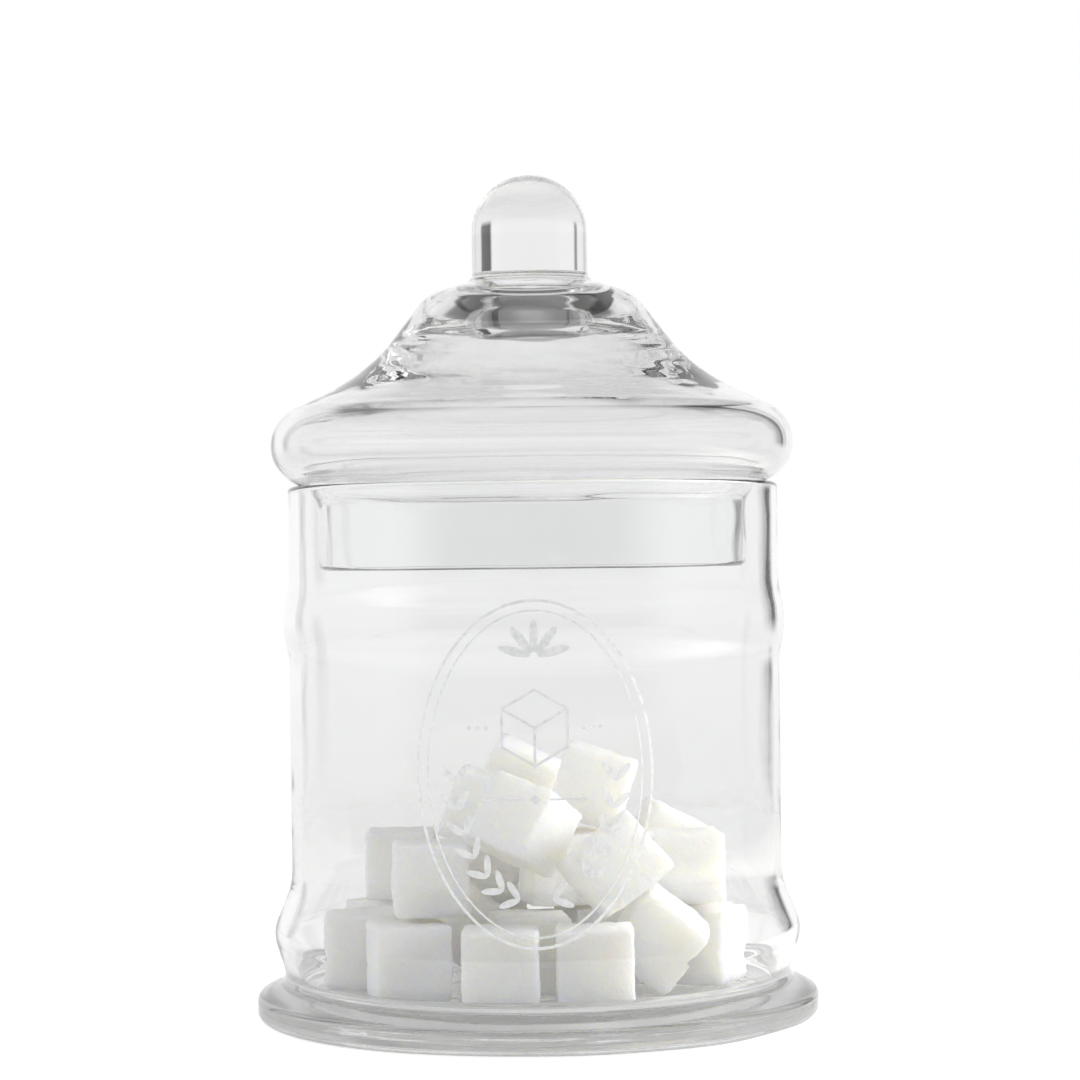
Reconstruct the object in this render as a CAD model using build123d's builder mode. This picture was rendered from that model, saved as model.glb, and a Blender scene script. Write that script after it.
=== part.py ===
from build123d import *
import math
import os

# Sugar canister in clear blown glass: a jar on a flared foot, a domed drop-in lid with a solid
# knob, a pale print on the front and a heap of sugar cubes inside. All sizes are in mm. The
# origin is on the table under the middle of the foot, +Z is up and the print faces -Y.

# Glass jar
body_radius = 55.6  # outside of the straight wall
wall = 2.8
floor_underside = 3.7  # height of the jar's own bottom, where the foot is fused on
waist_inset = 0.5  # how far the bottom corner stands in from the straight wall
waist_round = 6.9
base_swell = 4.5  # how far the low bulge stands out past the straight wall
base_swell_height = 19.6
base_swell_round = 8.0
wall_start_height = 30.7
wall_start_round = 16.0
bead_height = 89.1  # middle of the soft ring round the belly
bead_swell = 1.7
bead_half_span = 8.0
bead_crest_share = 0.65  # how much of each slope of the ring the round at its top takes
bead_foot_share = 0.26  # and the round at its foot
rim_height = 120.1
rim_round = 1.3

# Flared foot
foot_radius = 63.7
foot_edge_height = 5.6
foot_edge_round = 2.2
foot_sole_round = 1.8
foot_ring_inner = 53.5
foot_recess = 1.2
foot_recess_slope = 2.0
foot_neck_height = 8.8
foot_neck_reach = 1.8  # how far the neck of the flare stands out past the straight wall
foot_neck_round = 4.0

# Lid
stopper_clearance = 4.2  # between the mouth of the jar and the lid's collar
stopper_depth = 19.0  # how far the collar hangs below the rim
stopper_round = 4.0
seat_angle = 33.0
seat_gap = 0.3  # between the rim and the underside that rests on it
lid_overhang = 3.7  # how far the lid stands out past the straight wall
shoulder_rise = 15.0  # heights on the lid are measured up from the rim
side_straight = 0.2  # what the rounds of the brim and the shoulder leave upright between them
ogee_radius = 37.4
ogee_rise = 25.7
ogee_round = 45.0
crown_radius = 23.5
crown_rise = 43.4
crown_round = 9.0
knob_seat_rise = 46.3
knob_seat_round = 6.0
bowl_rise = 34.1  # bottom of the solid bowl that hangs from the crown into the hollow
bowl_inset = 2.7  # how far its flat bottom ends inside the knob's radius
bowl_round = 7.0
bowl_rim_rise = 40.9  # the highest ring of the hollow, round the bowl
bowl_rim_reach = 2.6  # how far this ring stands out past the knob
bowl_rim_round = 2.5
collar_edge_round = 1.3

# Solid knob
knob_radius = 13.2
knob_root_reach = 1.0
knob_root_edge = 0.3
knob_straight = 10.9  # from the seat up to the start of the round top

# Sugar cubes
cube_side = 17.5
cube_edge_round = 1.5
cube_gap = 0.08
cube_wall_gap = 0.3  # kept from the round where the flat of the floor ends
cube_reach = 8.0  # how far a cube may move aside for a lower pocket
cube_spin = 24  # degrees it may turn for one
cube_grip = 0.45  # a cube stays put unless it would sink by this share of the way it moves

# Print on the front of the jar
print_thickness = 0.15
print_line = 0.6
print_fine_line = 0.4
print_height = 58.6  # middle of the oval
oval_half_width = 25.0
oval_half_height = 36.5
oval_inset = 2.2  # from the outer line of the oval to the inner one
wreath_half_width = 17.0
wreath_half_height = 27.0
wreath_leaf_length = 4.6
wreath_leaf_width = 1.5
wreath_leaf_spread = 38.0
wreath_steps = 7
wreath_start = -78.0  # where the wreath starts and ends on its oval, in degrees
wreath_end = -4.0
crest_margin = 2.0  # from the inner line of the oval down to the crest
crest_leaf_length = 7.0
crest_leaf_width = 1.9
crest_leaf_reach = 0.8  # from the foot of the fan to each leaf
crest_leaf_angles = (-76, -38, 0, 38, 76)
emblem_gap = 7.0  # from the crest down to the drawn cube
emblem_side = 8.0
dot_radius = 0.45
dot_spacing = 1.8
dot_count = 3
dot_start = 10.2
rule_gap = 7.0  # from the drawn cube down to the rule
rule_start = 3.0
rule_end = 11.0
rule_diamond = 1.5

os.makedirs("parts", exist_ok=True)


def finish(name, piece):
    piece.part.label = name
    export_step(piece.part, f"parts/{name}.step")


def round_reach(before, corner, after):
    # How much of each side of a corner a round of radius one takes
    turn = math.atan2(after[1] - corner[1], after[0] - corner[0])
    turn -= math.atan2(corner[1] - before[1], corner[0] - before[0])
    return abs(math.tan(turn / 2))


def parallel_outline(outline, rounds, distance):
    # The corners and rounds of the line that runs at a distance to the left of an outline
    ways = []
    for (x, y), (next_x, next_y) in zip(outline, outline[1:]):
        length = math.hypot(next_x - x, next_y - y)
        ways.append(((next_x - x) / length, (next_y - y) / length))
    corners = []
    for (x, y), before, after in zip(outline, ways[:1] + ways, ways + ways[-1:]):
        share = distance / (1 + before[0] * after[0] + before[1] * after[1])
        corners.append((x - (before[1] + after[1]) * share, y + (before[0] + after[0]) * share))
    turns = [
        math.copysign(distance, before[0] * after[1] - before[1] * after[0])
        for before, after in zip(ways, ways[1:])
    ]
    return corners, [radius - turn for radius, turn in zip(rounds, turns)]


def band_lines(outline, rounds, distance):
    # A closed band between an outline and the line at a distance to its left
    beside, beside_rounds = parallel_outline(outline, rounds, distance)
    FilletPolyline(*outline, radius=rounds)
    FilletPolyline(*beside, radius=beside_rounds)
    Line(outline[0], beside[0])
    Line(outline[-1], beside[-1])


# Shared outlines
mouth_radius = body_radius - wall
floor_top = floor_underside + wall
bead_bottom = (body_radius, bead_height - bead_half_span)
bead_crest = (body_radius + bead_swell, bead_height)
bead_top = (body_radius, bead_height + bead_half_span)
bead_slope = math.hypot(bead_swell, bead_half_span)
bead_foot_reach = round_reach(bead_crest, bead_top, (body_radius, rim_height))
bead_round = bead_crest_share * bead_slope / round_reach(bead_bottom, bead_crest, bead_top)
bead_foot_round = bead_foot_share * bead_slope / bead_foot_reach
jar_outline = [
    (0, floor_underside),
    (body_radius - waist_inset, floor_underside),
    (body_radius + base_swell, base_swell_height),
    (body_radius, wall_start_height),
    bead_bottom,
    bead_crest,
    bead_top,
    (body_radius, rim_height),
]
jar_rounds = [
    waist_round,
    base_swell_round,
    wall_start_round,
    bead_foot_round,
    bead_round,
    bead_foot_round,
]
inner_outline, inner_rounds = parallel_outline(jar_outline, jar_rounds, wall)
floor_radius = inner_outline[1][0] - inner_rounds[0] * round_reach(*inner_outline[:3])

# Jar: one blown bubble of even wall, open at the top, with a fire-polished rim
with BuildPart() as jar_body:
    with BuildSketch(Plane.XZ) as jar_section:
        with BuildLine():
            band_lines(jar_outline, jar_rounds, wall)
        make_face()
        fillet(jar_section.vertices().group_by(Axis.Y)[-1], rim_round)
    revolve(axis=Axis.Z)
finish("jar_body", jar_body)

# Foot: a flared disc with a standing ring, fused to the underside of the jar
with BuildPart() as jar_blank:
    with BuildSketch(Plane.XZ):
        with BuildLine():
            FilletPolyline(*jar_outline, radius=jar_rounds)
            Polyline((body_radius, rim_height), (0, rim_height), (0, floor_underside))
        make_face()
    revolve(axis=Axis.Z)

neck_radius = body_radius + foot_neck_reach
with BuildPart() as jar_foot:
    with BuildSketch(Plane.XZ):
        with BuildLine():
            FilletPolyline(
                (0, foot_recess),
                (foot_ring_inner - foot_recess_slope, foot_recess),
                (foot_ring_inner, 0),
                (foot_radius, 0),
                (foot_radius, foot_edge_height),
                (neck_radius, foot_neck_height),
                (neck_radius, base_swell_height),
                radius=[0, 0, foot_sole_round, foot_edge_round, foot_neck_round],
            )
            Polyline((neck_radius, base_swell_height), (0, base_swell_height), (0, foot_recess))
        make_face()
    revolve(axis=Axis.Z)
    add(jar_blank.part, mode=Mode.SUBTRACT)
finish("jar_foot", jar_foot)

# Lid: a hollow dome whose collar hangs in the mouth and whose sloping underside rests on the rim.
# Its top is solid glass that hangs into the hollow as a bowl, and the knob is drawn from it.
collar_radius = mouth_radius - stopper_clearance
lid_radius = body_radius + lid_overhang
seat_lift = rim_round + seat_gap
seat_slope = math.tan(math.radians(seat_angle))
seat_point = (
    mouth_radius + rim_round - seat_lift * math.sin(math.radians(seat_angle)),
    rim_height - rim_round + seat_lift * math.cos(math.radians(seat_angle)),
)
collar_top = seat_point[1] - (seat_point[0] - collar_radius) * seat_slope
brim_height = seat_point[1] + (lid_radius - seat_point[0]) * seat_slope
knob_seat = rim_height + knob_seat_rise
knob_root_radius = knob_radius + knob_root_reach
brim = (lid_radius, brim_height)
shoulder = (lid_radius, rim_height + shoulder_rise)
ogee = (ogee_radius, rim_height + ogee_rise)
side_reach = round_reach(seat_point, brim, shoulder) + round_reach(brim, shoulder, ogee)
side_round = (shoulder[1] - brim_height - side_straight) / side_reach
lid_outline = [
    (collar_radius, rim_height - stopper_depth),
    (collar_radius, collar_top),
    brim,
    shoulder,
    ogee,
    (crown_radius, rim_height + crown_rise),
    (knob_root_radius, knob_seat),
    (0, knob_seat),
]
lid_rounds = [stopper_round, side_round, side_round, ogee_round, crown_round, knob_seat_round]
hollow_outline, hollow_rounds = parallel_outline(lid_outline, lid_rounds, wall)
hollow_outline[5:] = [
    (knob_radius + bowl_rim_reach, rim_height + bowl_rim_rise),
    (knob_radius - bowl_inset, rim_height + bowl_rise),
    (0, rim_height + bowl_rise),
]
hollow_rounds[4:] = [bowl_rim_round, bowl_round]
with BuildPart() as lid_shell:
    with BuildSketch(Plane.XZ) as lid_section:
        with BuildLine():
            FilletPolyline(*lid_outline, radius=lid_rounds)
            FilletPolyline(*hollow_outline, radius=hollow_rounds)
            Line(lid_outline[0], hollow_outline[0])
            Line(lid_outline[-1], hollow_outline[-1])
        make_face()
        fillet(lid_section.vertices().group_by(Axis.Y)[0], collar_edge_round)
    revolve(axis=Axis.Z)
finish("lid_shell", lid_shell)

# Knob: a solid bullet with a small flared root, seated on the flat of the lid
knob_straight_top = knob_seat + knob_straight
with BuildPart() as lid_knob:
    with BuildSketch(Plane.XZ):
        with BuildLine():
            Polyline(
                (0, knob_straight_top + knob_radius),
                (0, knob_seat),
                (knob_root_radius, knob_seat),
                (knob_root_radius, knob_seat + knob_root_edge),
            )
            RadiusArc(
                (knob_root_radius, knob_seat + knob_root_edge),
                (knob_radius, knob_seat + knob_root_edge + knob_root_reach),
                knob_root_reach,
            )
            Line(
                (knob_radius, knob_seat + knob_root_edge + knob_root_reach),
                (knob_radius, knob_straight_top),
            )
            RadiusArc(
                (knob_radius, knob_straight_top),
                (0, knob_straight_top + knob_radius),
                -knob_radius,
            )
        make_face()
    revolve(axis=Axis.Z)
finish("lid_knob", lid_knob)

# Sugar cubes: each is dropped near a chosen place, into the lowest pocket within reach, and then
# tilts and slides in small steps while that lets it sink. One that is given a lean keeps it,
# wedged among its neighbours.
# A pose is a bearing round the jar, counted from the right towards the back, the share of the
# heap's radius it lies out at, its own turn, how far it leans and the bearing it leans towards.
outer_row = [
    (258, 0.78, 0, 0, 0),
    (289, 0.78, 0, 0, 0),
    (223, 0.84, 12, 0, 0),
    (318, 0.86, 10, 40, 0),
    (351, 0.86, 40, 0, 0),
    (188, 0.84, 5, 0, 0),
    (25, 0.84, 30, 0, 0),
    (55, 0.84, 60, 0, 0),
    (72, 0.84, 80, 0, 0),
    (108, 0.84, 18, 0, 0),
    (150, 0.84, 60, 0, 0),
]
middle_row = [
    (166, 0.34, 5, 40, 0),
    (262, 0.28, 10, 0, 0),
    (0, 0.32, 10, 0, 0),
]
second_row = [
    (221, 0.64, 6, 0, 0),
    (302, 0.66, 20, 40, 175),
    (346, 0.72, 3, 0, 0),
    (126, 0.44, 4, 0, 0),
    (28, 0.78, 8, 26, 0),
    (66, 0.50, 8, 0, 0),
    (158, 0.68, 15, 0, 0),
    (344, 0.12, 12, 0, 0),
]
top_row = [
    (267, 0.40, 34, 30, 0),
    (154, 0.24, 85, 20, 0),
    (105, 0.40, 8, 28, 0),
    (28, 0.24, 85, 18, 0),
]
sugar_poses = outer_row + middle_row + second_row + top_row

sugar_floor = floor_top
sugar_radius = floor_radius - cube_edge_round - cube_wall_gap
cube_core = cube_side / 2 - cube_edge_round
corner_signs = [(i, j, k) for i in (-1, 1) for j in (-1, 1) for k in (-1, 1)]
pocket_moves = [cube_reach * step / 4 for step in range(5)]
pocket_turns = [0, -cube_spin / 2, cube_spin / 2, -cube_spin, cube_spin]
headings = range(0, 360, 45)
settle_steps = [(6, 0.8), (2, 0.3), (0.7, 0.1)]  # degrees of tilt and mm of slide at a time
settle_rounds = 40


def turned(vector, axis, degrees):
    # A vector turned about a unit axis
    cosine = math.cos(math.radians(degrees))
    sine = math.sin(math.radians(degrees))
    along = sum(a * v for a, v in zip(axis, vector)) * (1 - cosine)
    return (
        vector[0] * cosine + (axis[1] * vector[2] - axis[2] * vector[1]) * sine + axis[0] * along,
        vector[1] * cosine + (axis[2] * vector[0] - axis[0] * vector[2]) * sine + axis[1] * along,
        vector[2] * cosine + (axis[0] * vector[1] - axis[1] * vector[0]) * sine + axis[2] * along,
    )


def level_axis(bearing):
    return (math.cos(math.radians(bearing)), math.sin(math.radians(bearing)), 0)


def cross(a, b):
    return (a[1] * b[2] - a[2] * b[1], a[2] * b[0] - a[0] * b[2], a[0] * b[1] - a[1] * b[0])


def dot(a, b):
    return a[0] * b[0] + a[1] * b[1] + a[2] * b[2]


def unit_cross(a, b):
    normal = cross(a, b)
    length = math.sqrt(dot(normal, normal))
    return tuple(value / length for value in normal) if length > 1e-6 else a


def inside_heap(x, y, faces):
    # Whether every corner stays over the flat of the floor
    for i, j, k in corner_signs:
        corner_x = x + cube_core * (i * faces[0][0] + j * faces[1][0] + k * faces[2][0])
        corner_y = y + cube_core * (i * faces[0][1] + j * faces[1][1] + k * faces[2][1])
        if math.hypot(corner_x, corner_y) > sugar_radius:
            return False
    return True


def height_over(x, y, faces, below):
    # The lowest height at which a cube dropped here clears one cube below it, if they meet
    place, under = below
    normals = list(faces) + list(under) + [unit_cross(a, b) for a in faces for b in under]
    low, high = -math.inf, math.inf
    for normal in normals:
        span = 2 * cube_edge_round + cube_gap
        span += cube_core * sum(abs(dot(normal, face)) for face in (*faces, *under))
        aside = normal[0] * (x - place[0]) + normal[1] * (y - place[1])
        if abs(normal[2]) < 1e-6:
            if abs(aside) >= span:
                return None
        else:
            ends = sorted([(-span - aside) / normal[2], (span - aside) / normal[2]])
            low = max(low, ends[0])
            high = min(high, ends[1])
    return place[2] + high if low < high else None


def rest_height(x, y, faces, settled):
    drop = cube_core * sum(abs(face[2]) for face in faces) + cube_edge_round
    height = sugar_floor + cube_gap + drop
    for below in settled:
        if math.hypot(x - below[0][0], y - below[0][1]) < cube_side * math.sqrt(3):
            over = height_over(x, y, faces, below)
            if over is not None:
                height = max(height, over)
    return height


def lowest_pocket(x, y, faces, settled):
    pockets = []
    for turn in pocket_turns:
        spun = [turned(face, (0, 0, 1), turn) for face in faces]
        for move in pocket_moves:
            for heading in headings:
                ahead = level_axis(heading)
                new_x, new_y = x + move * ahead[0], y + move * ahead[1]
                if inside_heap(new_x, new_y, spun):
                    height = rest_height(new_x, new_y, spun, settled)
                    pockets.append((height + cube_grip * move, height, new_x, new_y, spun))
    return min(pockets, key=lambda pocket: pocket[0])[1:]


def settle(pose, settled):
    bearing, share, turn, lean, lean_bearing = pose
    x, y = (share * sugar_radius * value for value in level_axis(bearing)[:2])
    faces = [(1, 0, 0), (0, 1, 0), (0, 0, 1)]
    faces = [turned(face, (0, 0, 1), turn) for face in faces]
    faces = [turned(face, level_axis(lean_bearing + 90), lean) for face in faces]
    while not inside_heap(x, y, faces):
        x, y = x * 0.99, y * 0.99
    height, x, y, faces = lowest_pocket(x, y, faces, settled)
    for tilt, slide in settle_steps:
        for _ in range(settle_rounds):
            moves = []
            for heading in headings:
                axis = level_axis(heading)
                moves.append((x + slide * axis[0], y + slide * axis[1], faces, slide))
                if not lean:
                    leaned = [turned(face, axis, tilt) for face in faces]
                    moves.append((x, y, leaned, cube_side / 2 * math.radians(tilt)))
            sunk = []
            for new_x, new_y, new_faces, travel in moves:
                if inside_heap(new_x, new_y, new_faces):
                    new_height = rest_height(new_x, new_y, new_faces, settled)
                    cost = new_height + cube_grip * travel
                    sunk.append((cost, new_height, new_x, new_y, new_faces))
            best = min(sunk, key=lambda move: move[0], default=None)
            if best is None or best[0] >= height:
                break
            height, x, y, faces = best[1:]
    return (x, y, height), faces


settled_cubes = []
for pose in sugar_poses:
    settled_cubes.append(settle(pose, settled_cubes))

for number, (place, faces) in enumerate(settled_cubes, start=1):
    with BuildPart(Plane(origin=place, x_dir=faces[0], z_dir=faces[2])) as sugar_cube:
        Box(cube_side, cube_side, cube_side)
        fillet(sugar_cube.edges(), cube_edge_round)
    finish(f"sugar_cube_{number:02d}", sugar_cube)

# Print: a frosted transfer that follows the glass, with two ovals, a leaf wreath and a crest round
# a drawn sugar cube. It is drawn flat on the front and cut through a thin skin over the glass.
with BuildPart() as print_skin:
    with BuildSketch(Plane.XZ):
        with BuildLine():
            band_lines(jar_outline, jar_rounds, -print_thickness)
        make_face()
    revolve(axis=Axis.Z)

print_plane = Plane.XZ
print_reach = body_radius + base_swell + bead_swell
crest_top = print_height + oval_half_height - oval_inset - crest_margin
crest_height = crest_top - crest_leaf_length - crest_leaf_reach
emblem_height = crest_height - emblem_gap - emblem_side
rule_height = emblem_height - emblem_side - rule_gap


def oval_ring(inset, line):
    with Locations((0, print_height)):
        Ellipse(oval_half_width - inset, oval_half_height - inset)
        Ellipse(oval_half_width - inset - line, oval_half_height - inset - line, mode=Mode.SUBTRACT)


with BuildPart() as print_frame:
    with BuildSketch(print_plane):
        oval_ring(0, print_line)
        oval_ring(oval_inset, print_fine_line)
    extrude(amount=print_reach, dir=print_plane.z_dir)
    add(print_skin.part, mode=Mode.INTERSECT)
finish("print_frame", print_frame)

# The wreath climbs both sides from the foot of the oval, a pair of leaves at each step
with BuildPart() as print_wreath:
    with BuildSketch(print_plane):
        for side in (-1, 1):
            for step in range(wreath_steps):
                share = step / (wreath_steps - 1)
                climb = math.radians(wreath_start + (wreath_end - wreath_start) * share)
                stem = (
                    side * wreath_half_width * math.cos(climb),
                    print_height + wreath_half_height * math.sin(climb),
                )
                heading = math.degrees(
                    math.atan2(
                        wreath_half_height * math.cos(climb),
                        -side * wreath_half_width * math.sin(climb),
                    )
                )
                for spread in (-wreath_leaf_spread, wreath_leaf_spread):
                    leaf = math.radians(heading + spread)
                    middle = (
                        stem[0] + wreath_leaf_length / 2 * math.cos(leaf),
                        stem[1] + wreath_leaf_length / 2 * math.sin(leaf),
                    )
                    with Locations(middle):
                        Ellipse(
                            wreath_leaf_length / 2,
                            wreath_leaf_width / 2,
                            rotation=heading + spread,
                        )
    extrude(amount=print_reach, dir=print_plane.z_dir)
    add(print_skin.part, mode=Mode.INTERSECT)
finish("print_wreath", print_wreath)

# The crest is a fan of leaves that hangs under the top of the oval
with BuildPart() as print_crest:
    with BuildSketch(print_plane):
        for fan in crest_leaf_angles:
            leaf = math.radians(90 + fan)
            reach = crest_leaf_reach + crest_leaf_length / 2
            with Locations((reach * math.cos(leaf), crest_height + reach * math.sin(leaf))):
                Ellipse(crest_leaf_length / 2, crest_leaf_width / 2, rotation=90 + fan)
    extrude(amount=print_reach, dir=print_plane.z_dir)
    add(print_skin.part, mode=Mode.INTERSECT)
finish("print_crest", print_crest)

# The emblem is a cube seen corner on, between two rows of dots, over a rule with a diamond
emblem_shrink = 1 - print_line / (emblem_side * math.sin(math.radians(60)))
corners = [
    (
        emblem_side * math.sin(math.radians(60 * turn)),
        emblem_height + emblem_side * math.cos(math.radians(60 * turn)),
    )
    for turn in range(6)
]
with BuildPart() as print_emblem:
    with BuildSketch(print_plane):
        with Locations((0, emblem_height)):
            RegularPolygon(emblem_side + print_line / 2, 6, rotation=30)
        for near in (0, 2, 4):
            face_corners = [(0, emblem_height), corners[near - 1], corners[near], corners[near + 1]]
            middle = tuple(sum(values) / 4 for values in zip(*face_corners))
            with Locations(middle):
                Polygon(
                    *[
                        tuple(emblem_shrink * (value - at) for value, at in zip(corner, middle))
                        for corner in face_corners
                    ],
                    align=None,
                    mode=Mode.SUBTRACT,
                )
        for side in (-1, 1):
            for step in range(dot_count):
                with Locations((side * (dot_start + dot_spacing * step), emblem_height)):
                    Circle(dot_radius)
        with BuildLine():
            for side in (-1, 1):
                Line((side * rule_start, rule_height), (side * rule_end, rule_height))
        trace(line_width=print_fine_line)
        with Locations((0, rule_height)):
            Rectangle(rule_diamond, rule_diamond, rotation=45)
    extrude(amount=print_reach, dir=print_plane.z_dir)
    add(print_skin.part, mode=Mode.INTERSECT)
finish("print_emblem", print_emblem)
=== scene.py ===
import math

import bpy
from mathutils import Matrix, Vector, noise


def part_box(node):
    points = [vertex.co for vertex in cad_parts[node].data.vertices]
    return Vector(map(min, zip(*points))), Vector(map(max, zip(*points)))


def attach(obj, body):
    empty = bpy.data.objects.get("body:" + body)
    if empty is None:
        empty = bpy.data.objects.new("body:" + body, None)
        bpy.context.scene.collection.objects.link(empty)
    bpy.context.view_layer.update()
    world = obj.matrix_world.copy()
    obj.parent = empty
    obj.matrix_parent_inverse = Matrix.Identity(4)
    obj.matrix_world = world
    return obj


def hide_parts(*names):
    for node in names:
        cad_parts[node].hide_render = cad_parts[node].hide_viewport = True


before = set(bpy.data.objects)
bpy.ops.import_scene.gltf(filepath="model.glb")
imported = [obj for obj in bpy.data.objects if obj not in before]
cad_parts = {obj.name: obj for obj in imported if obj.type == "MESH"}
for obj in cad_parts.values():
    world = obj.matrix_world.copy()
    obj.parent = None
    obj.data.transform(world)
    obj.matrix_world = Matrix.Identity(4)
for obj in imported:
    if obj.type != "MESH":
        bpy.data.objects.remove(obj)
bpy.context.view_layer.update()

# A clear glass canister with sugar cubes. The glass of each body is one fused mesh, turned on the
# axis of the canister from an outline in mm, because blown glass has no skin between its parts.

MM = 0.001


# Sizes in mm
def radial_box(node):
    low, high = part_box(node)
    return max(high[0], high[1]) / MM, low[2] / MM, high[2] / MM


_, body_bottom, rim_height = radial_box("jar_body")
foot_radius, _, _ = radial_box("jar_foot")
lid_radius, collar_bottom, knob_seat = radial_box("lid_shell")
root_radius, _, knob_top = radial_box("lid_knob")

wall = 2.8
edge_round = 1.3  # of the fire-polished rim and the lower edge of the collar

# The jar, from the floor up
body_radius = 55.6
mouth_radius = body_radius - wall
waist_inset = 0.5
waist_round = 6.9
base_swell = 4.5
base_swell_height = 19.6
base_swell_round = 8.0
wall_start_height = 30.7
wall_start_round = 16.0
bead_swell = 1.7
bead_bottom = 81.1
bead_height = 89.1
bead_top = 97.1
bead_round = 25.0
bead_foot_round = 20.0

# The foot, from the recess under it to its neck
recess_depth = 1.2
recess_radius = 51.5
recess_round = 1.2
ring_inner = 53.5
ring_round = 0.8
sole_round = 1.8
foot_edge_height = 5.6
foot_edge_round = 2.2
neck_radius = body_radius + 1.8
neck_height = 8.8
neck_round = 2.7
neck_top = 10.9
neck_top_round = 0.7

# The lid, whose rises are measured from the rim of the jar
collar_radius = 48.6
collar_round = 4.0
collar_top_rise = -2.964
brim_rise = 3.985
shoulder_rise = 15.0
side_round = 9.26
ogee_radius = 37.4
ogee_rise = 25.7
ogee_round = 45.0
crown_radius = 23.5
crown_rise = 43.4
crown_round = 9.0
knob_radius = 13.2
knob_seat_round = 6.0
knob_root_round = 2.5
knob_top_steps = 24

# Solid glass hangs as a bowl from the crown into the hollow
bowl_rim_radius = 15.8
bowl_rim_rise = 40.9
bowl_rim_round = 2.5
bowl_radius = 10.5
bowl_rise = 34.1
bowl_round = 7.0

# How closely a turned surface is divided, and how far it keeps inside the CAD's box
sectors = 160
stride = 1.3
arc_step = math.radians(6)
least_step = 0.02
least_turn = 1e-4
on_axis = 1e-6
skin = 0.03

# How a hand-blown surface wanders: turns per mm of a broad and a fine swell, the share of the
# fine one, and the stretch of the streaks out from, round and along the axis
broad_swell = 0.045
fine_swell = 0.13
fine_share = 0.35
fine_offset = Vector((9, 4, 2))
streak_out = 0.32
streak_round = 2.5
streak_up = 0.2


# Outlines
def way(start, end):
    length = math.hypot(end[0] - start[0], end[1] - start[1])
    return (end[0] - start[0]) / length, (end[1] - start[1]) / length


def beside(outline, rounds, distance):
    # The corners and rounds of the line that runs at a distance to the left of an outline
    ways = [way(start, end) for start, end in zip(outline, outline[1:])]
    corners = []
    for (x, y), before, after in zip(outline, ways[:1] + ways, ways + ways[-1:]):
        share = distance / (1 + before[0] * after[0] + before[1] * after[1])
        corners.append((x - (before[1] + after[1]) * share, y + (before[0] + after[0]) * share))
    turns = [
        math.copysign(distance, before[0] * after[1] - before[1] * after[0])
        for before, after in zip(ways, ways[1:])
    ]
    return corners, [radius - turn for radius, turn in zip(rounds, turns)]


def arc(corner, before, after, radius):
    # The points of the round at a corner, or the corner alone where the line runs straight on
    x, y = corner
    turn = math.atan2(
        before[0] * after[1] - before[1] * after[0],
        before[0] * after[0] + before[1] * after[1],
    )
    if abs(turn) < least_turn or radius <= 0:
        return [(x, y)]
    reach = radius * abs(math.tan(turn / 2))
    side = math.copysign(1, turn)
    start = (x - before[0] * reach, y - before[1] * reach)
    centre = (start[0] - before[1] * radius * side, start[1] + before[0] * radius * side)
    dx, dy = start[0] - centre[0], start[1] - centre[1]
    steps = max(3, math.ceil(abs(turn) / arc_step), math.ceil(abs(turn) * radius / stride))
    points = []
    for step in range(steps + 1):
        angle = turn * step / steps
        points.append(
            (
                centre[0] + dx * math.cos(angle) - dy * math.sin(angle),
                centre[1] + dx * math.sin(angle) + dy * math.cos(angle),
            )
        )
    return points


def rounded(corners, rounds):
    # A line through corners with an arc at each, divided evenly enough for smooth refraction
    points = [corners[0]]
    for index, radius in enumerate(rounds, 1):
        before = way(corners[index - 1], corners[index])
        after = way(corners[index], corners[index + 1])
        points += arc(corners[index], before, after, radius)
    points.append(corners[-1])
    dense = [points[0]]
    for start, end in zip(points, points[1:]):
        length = math.hypot(end[0] - start[0], end[1] - start[1])
        if length < least_step:
            continue
        pieces = max(1, math.ceil(length / stride))
        for piece in range(1, pieces + 1):
            share = piece / pieces
            dense.append(
                (start[0] + (end[0] - start[0]) * share, start[1] + (end[1] - start[1]) * share)
            )
    return dense


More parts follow.
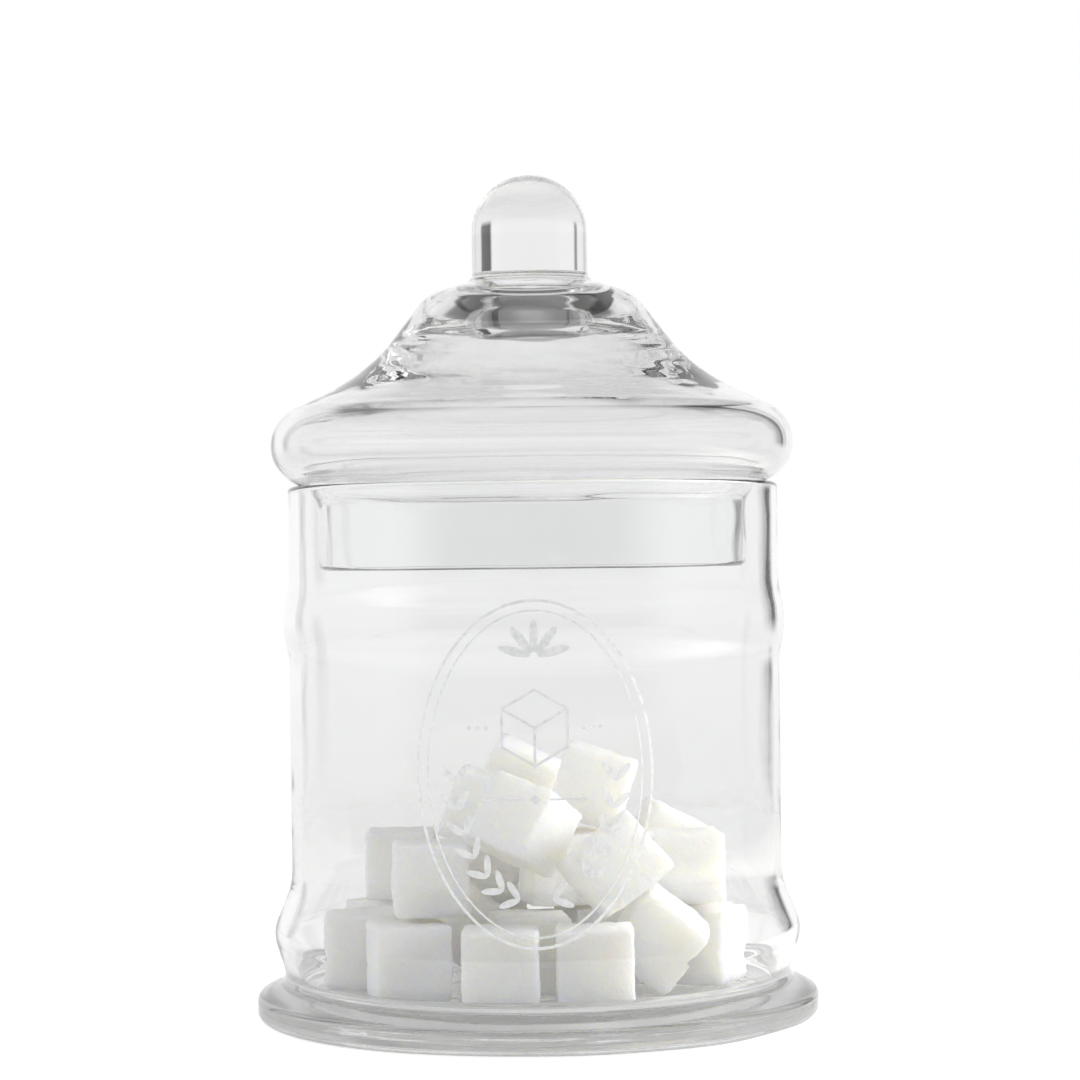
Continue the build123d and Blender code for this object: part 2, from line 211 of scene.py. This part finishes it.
def turned(name, outline, sway, ripple):
    # A closed outline that starts and ends on the axis, turned into a smooth body of glass.
    # sway and ripple give how far the surface wanders and how deep its streaks are at a point.
    ways = [way(start, end) for start, end in zip(outline, outline[1:])]
    vertices = []
    for index, (radius, height) in enumerate(outline):
        before = ways[max(index - 1, 0)]
        after = ways[min(index, len(ways) - 1)]
        out = way((0, 0), (before[1] + after[1], -before[0] - after[0]))
        if radius < on_axis:
            vertices.append((0.0, 0.0, (height + out[1] * -skin) * MM))
            continue
        wander = sway(radius, height)
        depth = ripple(radius, height)
        for sector in range(sectors):
            angle = 2 * math.pi * sector / sectors
            east, north = math.cos(angle), math.sin(angle)
            spot = Vector((radius * east, radius * north, height))
            streak = Vector(
                (
                    radius * streak_out,
                    east * streak_round,
                    north * streak_round + height * streak_up,
                )
            )
            drift = wander * noise.noise(spot * broad_swell)
            drift += fine_share * wander * noise.noise(spot * fine_swell + fine_offset)
            drift += depth * 0.5 * (noise.noise(streak) - 1)
            shift = -skin + drift - wander
            reach = radius + out[0] * shift
            vertices.append((reach * east * MM, reach * north * MM, (height + out[1] * shift) * MM))
    faces = []
    rows = len(outline)
    last = len(vertices) - 1
    for row in range(rows - 1):
        low = 1 + (row - 1) * sectors
        high = 1 + row * sectors
        for sector in range(sectors):
            after = (sector + 1) % sectors
            if row == 0:
                faces.append((0, 1 + after, 1 + sector))
            elif row == rows - 2:
                faces.append((low + sector, low + after, last))
            else:
                faces.append((low + sector, low + after, high + after, high + sector))
    mesh = bpy.data.meshes.new(name)
    mesh.from_pydata(vertices, [], faces)
    mesh.validate()
    mesh.polygons.foreach_set("use_smooth", [True] * len(mesh.polygons))
    mesh.update()
    piece = bpy.data.objects.new(name, mesh)
    bpy.context.scene.collection.objects.link(piece)
    return piece


# Jar: blown wall, bead, bulge and flared foot in one
jar_outline = [
    (0, body_bottom),
    (body_radius - waist_inset, body_bottom),
    (body_radius + base_swell, base_swell_height),
    (body_radius, wall_start_height),
    (body_radius, bead_bottom),
    (body_radius + bead_swell, bead_height),
    (body_radius, bead_top),
    (body_radius, rim_height),
]
jar_rounds = [
    waist_round,
    base_swell_round,
    wall_start_round,
    bead_foot_round,
    bead_round,
    bead_foot_round,
]
inner_corners, inner_rounds = beside(jar_outline, jar_rounds, wall)
jar_corners = [
    (0, recess_depth),
    (recess_radius, recess_depth),
    (ring_inner, 0),
    (foot_radius, 0),
    (foot_radius, foot_edge_height),
    (neck_radius, neck_height),
    (neck_radius, neck_top),
    *jar_outline[2:],
    *reversed(inner_corners),
]
jar_corner_rounds = [
    recess_round,
    ring_round,
    sole_round,
    foot_edge_round,
    neck_round,
    neck_top_round,
    *jar_rounds[1:],
    edge_round,
    edge_round,
    *reversed(inner_rounds),
]

# Where the jar's surface changes from even to uneven, in mm
underside_top = 1.5
floor_top = 8
floor_reach = 50
foot_top = 9
inside_reach = mouth_radius + 0.4


def jar_sway(radius, height):
    # The inside wanders more than the outside
    return 0.07 if radius < inside_reach and height > foot_top else 0.02


def jar_ripple(radius, height):
    # The pressed underside and the inner floor are the uneven parts
    if height < underside_top:
        return 0.6
    if radius < floor_reach and height < floor_top:
        return 0.8
    return 0.15 if height < foot_top else 0.0


jar_glass = turned("jar_glass", rounded(jar_corners, jar_corner_rounds), jar_sway, jar_ripple)

# Lid: collar, brim, dome and solid knob in one
lid_outline = [
    (collar_radius, collar_bottom),
    (collar_radius, rim_height + collar_top_rise),
    (lid_radius, rim_height + brim_rise),
    (lid_radius, rim_height + shoulder_rise),
    (ogee_radius, rim_height + ogee_rise),
    (crown_radius, rim_height + crown_rise),
    (root_radius, knob_seat),
    (0, knob_seat),
]
lid_rounds = [collar_round, side_round, side_round, ogee_round, crown_round, knob_seat_round]
under_corners, under_rounds = beside(lid_outline, lid_rounds, wall)
under_corners[5:] = [
    (bowl_rim_radius, rim_height + bowl_rim_rise),
    (bowl_radius, rim_height + bowl_rise),
    (0, rim_height + bowl_rise),
]
under_rounds[4:] = [bowl_rim_round, bowl_round]
knob_spring = knob_top - knob_radius
lid_corners = [
    *reversed(under_corners),
    *lid_outline[:-2],
    (knob_radius, knob_seat),
    (knob_radius, knob_spring),
]
lid_corner_rounds = [
    *reversed(under_rounds),
    edge_round,
    edge_round,
    *lid_rounds[:-1],
    knob_root_round,
]
knob_turn = []
for step in range(1, knob_top_steps):
    angle = math.radians(90 * step / knob_top_steps)
    knob_turn.append(
        (knob_radius * math.cos(angle), knob_spring + knob_radius * math.sin(angle))
    )
lid_line = rounded(lid_corners, lid_corner_rounds) + knob_turn + [(0, knob_top)]

# And where the lid's does, with the uneven part of the dome as rises from the jar's rim
crown_start = rim_height + 24
crown_reach = 27
inner_collar_top = rim_height - 3
inner_collar_reach = collar_radius - 1
dome_reach = lid_radius - 6
uneven_from = 20
uneven_to = 32


def lid_sway(radius, height):
    # The knob, the crown and the brim are nearly true, and the dome wanders most
    if height > knob_seat:
        return 0.03
    if height > crown_start and radius < crown_reach:
        return 0.05
    if height < inner_collar_top and radius < inner_collar_reach:
        return 0.1
    return 0.18 if radius < dome_reach else 0.04


def lid_ripple(radius, height):
    # The dome was pulled unevenly where it spreads into the brim
    uneven = uneven_from < height - rim_height < uneven_to
    return 0.16 if uneven and radius < dome_reach else 0.0


lid_glass = turned("lid_glass", lid_line, lid_sway, lid_ripple)


# Shader nodes
def grey(level):
    return (level, level, level, 1.0)


def add(nodes, kind, sockets=None, **settings):
    node = nodes.new(kind)
    for key, value in settings.items():
        setattr(node, key, value)
    for socket, value in (sockets or {}).items():
        node.inputs[socket].default_value = value
    return node


def add_ramp(nodes, *stops):
    # A colour ramp from its stops, each a position and a colour
    node = nodes.new("ShaderNodeValToRGB")
    ends = node.color_ramp.elements
    ends[0].position, ends[0].color = stops[0]
    ends[1].position, ends[1].color = stops[-1]
    for position, color in stops[1:-1]:
        ends.new(position).color = color
    return node


def wire(links, *runs):
    # Links, each from a node's output to a node's input
    for source, output, target, socket in runs:
        links.new(source.outputs[output], target.inputs[socket])


def new_material(name):
    material = bpy.data.materials.new(name)
    material.use_nodes = True
    nodes = material.node_tree.nodes
    return material, nodes, material.node_tree.links, nodes["Principled BSDF"]


def dress(piece, material):
    piece.data.materials.clear()
    piece.data.materials.append(material)


# Glass
def glass_material(name, tint, roughness=0.0):
    material, nodes, links, glass = new_material(name)
    glass.inputs["Base Color"].default_value = (tint, tint + 0.003, tint + 0.002, 1)
    glass.inputs["Roughness"].default_value = roughness
    glass.inputs["IOR"].default_value = 1.5
    glass.inputs["Transmission Weight"].default_value = 1.0
    place = add(nodes, "ShaderNodeTexCoord")
    stretch = add(nodes, "ShaderNodeMapping", {"Scale": (1.0, 1.0, 2.4)})
    cords = add(nodes, "ShaderNodeTexNoise", {"Scale": 38, "Detail": 1.5})
    bump = add(nodes, "ShaderNodeBump", {"Strength": 0.16, "Distance": 0.0004})
    clear = add(nodes, "ShaderNodeBsdfTransparent", {"Color": (0.97, 0.972, 0.97, 1)})
    path = add(nodes, "ShaderNodeLightPath")
    mix = add(nodes, "ShaderNodeMixShader")
    depth = add(
        nodes, "ShaderNodeVolumeAbsorption", {"Color": (0.5, 0.505, 0.503, 1), "Density": 2}
    )
    out = nodes["Material Output"]
    wire(
        links,
        (place, "Object", stretch, "Vector"),
        (stretch, "Vector", cords, "Vector"),
        (cords, "Fac", bump, "Height"),
        (bump, "Normal", glass, "Normal"),
        (path, "Is Shadow Ray", mix, 0),
        (glass, "BSDF", mix, 1),
        (clear, "BSDF", mix, 2),
        (mix, "Shader", out, "Surface"),
        (depth, "Volume", out, "Volume"),
    )
    return material


# The lid's glass above the collar is a little darker than the jar and the lid's own collar: partly
# thicker glass, partly painted shade on the dome
jar_tint = 0.945
dome_shaded_tint = 0.91
collar_lightened_tint = 0.995
for piece, body, nodes, name, tint in (
    (jar_glass, "jar", ("jar_body", "jar_foot"), "clear_glass", jar_tint),
    (lid_glass, "lid", ("lid_shell", "lid_knob"), "lid_glass", dome_shaded_tint),
):
    dress(piece, glass_material(name, tint))
    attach(piece, body)
    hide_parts(*nodes)

# The collar gets a nearly clear copy of the lid's glass, lighter than the jar's: painted light
collar_glass_top = rim_height + 1
lid_glass.data.materials.append(glass_material("collar_glass", collar_lightened_tint))
for face in lid_glass.data.polygons:
    if face.center.z < collar_glass_top * MM:
        face.material_index = 1

# The underside of the foot is ground, so it spreads the light that runs inside the glass
ground_height = 1.6
ground_radius = 61.5
jar_glass.data.materials.append(glass_material("ground_glass", jar_tint, roughness=0.3))
for face in jar_glass.data.polygons:
    reach = math.hypot(face.center.x, face.center.y)
    if face.center.z < ground_height * MM and reach < ground_radius * MM:
        face.material_index = 1


# Sugar cubes: the frame's own solids, with a pressed, crumbling surface
def sugar_material():
    material, nodes, links, sugar = new_material("pressed_sugar")
    sugar.inputs["IOR"].default_value = 1.45
    sugar.inputs["Subsurface Weight"].default_value = 1.0
    sugar.inputs["Subsurface Radius"].default_value = (1.0, 0.86, 0.5)
    sugar.inputs["Subsurface Scale"].default_value = 0.014
    place = add(nodes, "ShaderNodeTexCoord")
    patches = add(nodes, "ShaderNodeTexNoise", {"Scale": 160, "Detail": 4})
    tone = add_ramp(nodes, (0.3, (0.975, 0.96, 0.922, 1)), (0.7, (0.99, 0.984, 0.967, 1)))
    grains = add(nodes, "ShaderNodeTexVoronoi", {"Scale": 1300})
    fine = add(nodes, "ShaderNodeTexNoise", {"Scale": 2600, "Detail": 2})
    height = add(nodes, "ShaderNodeMath", operation="ADD")
    bump = add(nodes, "ShaderNodeBump", {"Strength": 0.55, "Distance": 0.00025})
    facet = add(nodes, "ShaderNodeMapRange", {"To Min": 0.35, "To Max": 0.95})
    wire(
        links,
        (place, "Object", patches, "Vector"),
        (place, "Object", grains, "Vector"),
        (place, "Object", fine, "Vector"),
        (patches, "Fac", tone, "Fac"),
        (tone, "Color", sugar, "Base Color"),
        (grains, "Distance", height, 0),
        (fine, "Fac", height, 1),
        (height, "Value", bump, "Height"),
        (bump, "Normal", sugar, "Normal"),
        (grains, "Distance", facet, "Value"),
        (facet, "Result", sugar, "Roughness"),
    )
    return material


def cloud_texture(name, scale, depth):
    texture = bpy.data.textures.new(name, "CLOUDS")
    texture.noise_scale = scale
    texture.noise_depth = depth
    return texture


# The voxels that round a cube's edges and the depth of its pits, in metres
grain_size = 0.0007
press_depth = 0.0007
pressed_sugar = sugar_material()
presses = (
    ("hollows", cloud_texture("sugar_hollows", 0.006, 1)),
    ("crumbs", cloud_texture("sugar_crumbs", 0.0011, 2)),
)
for name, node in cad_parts.items():
    if not name.startswith("sugar_cube"):
        continue
    dress(node, pressed_sugar)
    grain = node.modifiers.new("grain_skin", "REMESH")
    grain.mode = "VOXEL"
    grain.voxel_size = grain_size
    grain.use_smooth_shade = True
    for label, texture in presses:
        press = node.modifiers.new(label, "DISPLACE")
        press.texture = texture
        press.texture_coords = "LOCAL"
        press.strength = press_depth
        press.mid_level = 0.9


# Print on the front
def print_material():
    material, nodes, links, frost = new_material("frosted_print")
    frost.inputs["Roughness"].default_value = 0.5
    frost.inputs["Alpha"].default_value = 0.75
    place = add(nodes, "ShaderNodeTexCoord")
    speck = add(nodes, "ShaderNodeTexNoise", {"Scale": 900, "Detail": 3})
    tone = add_ramp(nodes, (0.32, (0.72, 0.73, 0.735, 1)), (0.62, (0.86, 0.87, 0.87, 1)))
    bump = add(nodes, "ShaderNodeBump", {"Strength": 0.3, "Distance": 0.00005})
    wire(
        links,
        (place, "Object", speck, "Vector"),
        (speck, "Fac", tone, "Fac"),
        (tone, "Color", frost, "Base Color"),
        (speck, "Fac", bump, "Height"),
        (bump, "Normal", frost, "Normal"),
    )
    return material


frosted_print = print_material()
for name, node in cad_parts.items():
    if name.startswith("print_"):
        dress(node, frosted_print)


# World and floor
def add_seen(nodes, links):
    # seen is one for a ray that glass mirrors or lets through before it has met a matt surface
    path = add(nodes, "ShaderNodeLightPath")
    either = add(nodes, "ShaderNodeMath", operation="ADD", use_clamp=True)
    undimmed = add(nodes, "ShaderNodeMath", {1: 0.5}, operation="LESS_THAN")
    seen = add(nodes, "ShaderNodeMath", operation="MULTIPLY")
    wire(
        links,
        (path, "Is Glossy Ray", either, 0),
        (path, "Is Transmission Ray", either, 1),
        (path, "Diffuse Depth", undimmed, 0),
        (either, "Value", seen, 0),
        (undimmed, "Value", seen, 1),
    )
    return path, seen


# The room that the glass shows, from straight down to straight up: light as far as a little above
# the horizon, dark high up and lighter again overhead
room_rise = (
    (0.0, 0.9),
    (0.5, 1.0),
    (0.66, 1.0),
    (0.77, 0.8),
    (0.81, 0.26),
    (0.88, 0.16),
    (0.94, 0.15),
    (1.0, 0.6),
)
# Round the horizon, in degrees from the back of the canister: white behind it and grey on the near
# side, with a narrow grey panel behind on the left and a wide dark one behind on the right that
# draw the dark lines in the glass
room_round = (
    (-180, 0.28),
    (-130, 0.35),
    (-110, 0.95),
    (-45, 1.0),
    (-43, 0.3),
    (-40, 0.3),
    (-38, 1.0),
    (29, 1.0),
    (31, 0.11),
    (43, 0.14),
    (46, 0.9),
    (110, 0.95),
    (130, 0.35),
    (180, 0.28),
)
world = bpy.data.worlds.new("studio")
bpy.context.scene.world = world
world.use_nodes = True
nodes, links = world.node_tree.nodes, world.node_tree.links
nodes.clear()
path, seen = add_seen(nodes, links)
place = add(nodes, "ShaderNodeTexCoord")
split = add(nodes, "ShaderNodeSeparateXYZ")
rise = add(nodes, "ShaderNodeMapRange", {"From Min": -1, "From Max": 1})
room = add_ramp(nodes, *((position, grey(level)) for position, level in room_rise))
bearing = add(nodes, "ShaderNodeMath", operation="ARCTAN2")
turn = add(nodes, "ShaderNodeMapRange", {"From Min": -math.pi, "From Max": math.pi})
around = add_ramp(nodes, *((0.5 + degrees / 360, grey(level)) for degrees, level in room_round))
below = add(nodes, "ShaderNodeMapRange", {"From Min": -0.02, "From Max": -0.1})
table = add(nodes, "ShaderNodeMixRGB", {"Color2": grey(0.92)})
panel_top = add(nodes, "ShaderNodeMapRange", {"From Min": 0.75, "From Max": 0.85})
walls = add(nodes, "ShaderNodeMixRGB", {"Color2": grey(0.8)})
shaded = add(nodes, "ShaderNodeMixRGB", {"Fac": 1.0}, blend_type="MULTIPLY")
lighting = add(nodes, "ShaderNodeBackground", {"Color": (1.0, 0.995, 0.985, 1), "Strength": 0.66})
showing = add(nodes, "ShaderNodeBackground")
backdrop = add(nodes, "ShaderNodeBackground", {"Color": grey(1.0)})
first = add(nodes, "ShaderNodeMixShader")
second = add(nodes, "ShaderNodeMixShader")
out = add(nodes, "ShaderNodeOutputWorld")
wire(
    links,
    (place, "Generated", split, "Vector"),
    (split, "Z", rise, "Value"),
    (rise, "Result", room, "Fac"),
    (split, "X", bearing, 0),
    (split, "Y", bearing, 1),
    (bearing, "Value", turn, "Value"),
    (turn, "Result", around, "Fac"),
    (split, "Z", below, "Value"),
    (below, "Result", table, "Fac"),
    (around, "Color", table, "Color1"),
    (split, "Z", panel_top, "Value"),
    (panel_top, "Result", walls, "Fac"),
    (table, "Color", walls, "Color1"),
    (room, "Color", shaded, "Color1"),
    (walls, "Color", shaded, "Color2"),
    (shaded, "Color", showing, "Color"),
    (seen, "Value", first, 0),
    (lighting, "Background", first, 1),
    (showing, "Background", first, 2),
    (path, "Is Camera Ray", second, 0),
    (first, "Shader", second, 1),
    (backdrop, "Background", second, 2),
    (second, "Shader", out, "Surface"),
)

# A disc, in metres, that reaches past the place where the floor has faded out
floor_radius = 0.72
floor_sides = 48
floor_corners = []
for side in range(floor_sides):
    angle = 2 * math.pi * side / floor_sides
    floor_corners.append((floor_radius * math.cos(angle), floor_radius * math.sin(angle), 0.0))
floor_mesh = bpy.data.meshes.new("floor")
floor_mesh.from_pydata(floor_corners, [], [tuple(range(floor_sides))])
floor = bpy.data.objects.new("floor", floor_mesh)
bpy.context.scene.collection.objects.link(floor)

# The floor keeps the canister's shadow and melts into the background at its far edge
floor_material = bpy.data.materials.new("floor")
floor_material.use_nodes = True
nodes, links = floor_material.node_tree.nodes, floor_material.node_tree.links
nodes.clear()
path, seen = add_seen(nodes, links)
every = add(nodes, "ShaderNodeMath", operation="ADD", use_clamp=True)
matt = add(nodes, "ShaderNodeBsdfDiffuse", {"Color": grey(0.58)})
level_direct = add(nodes, "ShaderNodeMath", {1: 0.25, 2: 0.3}, operation="MULTIPLY_ADD")
level = add(nodes, "ShaderNodeMath", {1: 0.12}, operation="MULTIPLY_ADD")
glow = add(nodes, "ShaderNodeEmission")
both = add(nodes, "ShaderNodeAddShader")
place = add(nodes, "ShaderNodeTexCoord")
spread = add(nodes, "ShaderNodeVectorMath", operation="LENGTH")
fade = add(
    nodes,
    "ShaderNodeMapRange",
    {"From Min": 0.3, "From Max": 0.7},
    interpolation_type="SMOOTHSTEP",
)
beyond = add(nodes, "ShaderNodeBsdfTransparent")
melted = add(nodes, "ShaderNodeMixShader")
out = add(nodes, "ShaderNodeOutputMaterial")
wire(
    links,
    (seen, "Value", every, 0),
    (path, "Is Camera Ray", every, 1),
    (path, "Is Camera Ray", level_direct, 0),
    (every, "Value", level, 0),
    (level_direct, "Value", level, 2),
    (level, "Value", glow, "Strength"),
    (matt, "BSDF", both, 0),
    (glow, "Emission", both, 1),
    (place, "Object", spread, 0),
    (spread, "Value", fade, "Value"),
    (fade, "Result", melted, 0),
    (both, "Shader", melted, 1),
    (beyond, "BSDF", melted, 2),
    (melted, "Shader", out, "Surface"),
)
floor_material.cycles.emission_sampling = "NONE"
floor.data.materials.append(floor_material)


# Lamps, with places and sizes in metres
def lamp(name, spot, aim, size, power, color):
    data = bpy.data.lights.new(name, "AREA")
    data.shape = "DISK"
    data.size = size
    data.energy = power
    data.color = color
    light = bpy.data.objects.new(name, data)
    light.location = spot
    light.rotation_euler = (Vector(aim) - Vector(spot)).to_track_quat("-Z", "Y").to_euler()
    light.visible_camera = False
    light.visible_transmission = False
    light.visible_glossy = False
    bpy.context.scene.collection.objects.link(light)


lamp(
    "key",
    spot=(0.34, -0.03, 0.16),
    aim=(0.02, 0, 0.035),
    size=0.22,
    power=1.45,
    color=(1.0, 0.99, 0.96),
)
lamp(
    "fill",
    spot=(-0.65, -0.30, 0.40),
    aim=(0, 0, 0.05),
    size=0.7,
    power=2.9,
    color=(0.98, 0.99, 1.0),
)

# Camera, placed in metres: level with the bead, with the slight lean of the photograph
camera_place = (0.0016, -0.683, 0.1074)
camera_lean = math.radians(-0.7)
camera_data = bpy.data.cameras.new("camera")
camera_data.lens = 100
camera_data.sensor_width = 36
camera_data.clip_start = 0.01
camera_data.clip_end = 20
camera = bpy.data.objects.new("camera", camera_data)
level_view = Matrix.Rotation(math.radians(90), 4, "X")
camera.matrix_world = (
    Matrix.Translation(camera_place) @ level_view @ Matrix.Rotation(camera_lean, 4, "Z")
)
bpy.context.scene.collection.objects.link(camera)
bpy.context.scene.camera = camera

bpy.context.scene.view_settings.view_transform = "Standard"

# Light is passed on many times inside the thick glass of the foot and the knob
light_paths = bpy.context.scene.cycles
light_paths.max_bounces = 24
light_paths.diffuse_bounces = 10
light_paths.glossy_bounces = 20
light_paths.transmission_bounces = 24
light_paths.transparent_max_bounces = 16
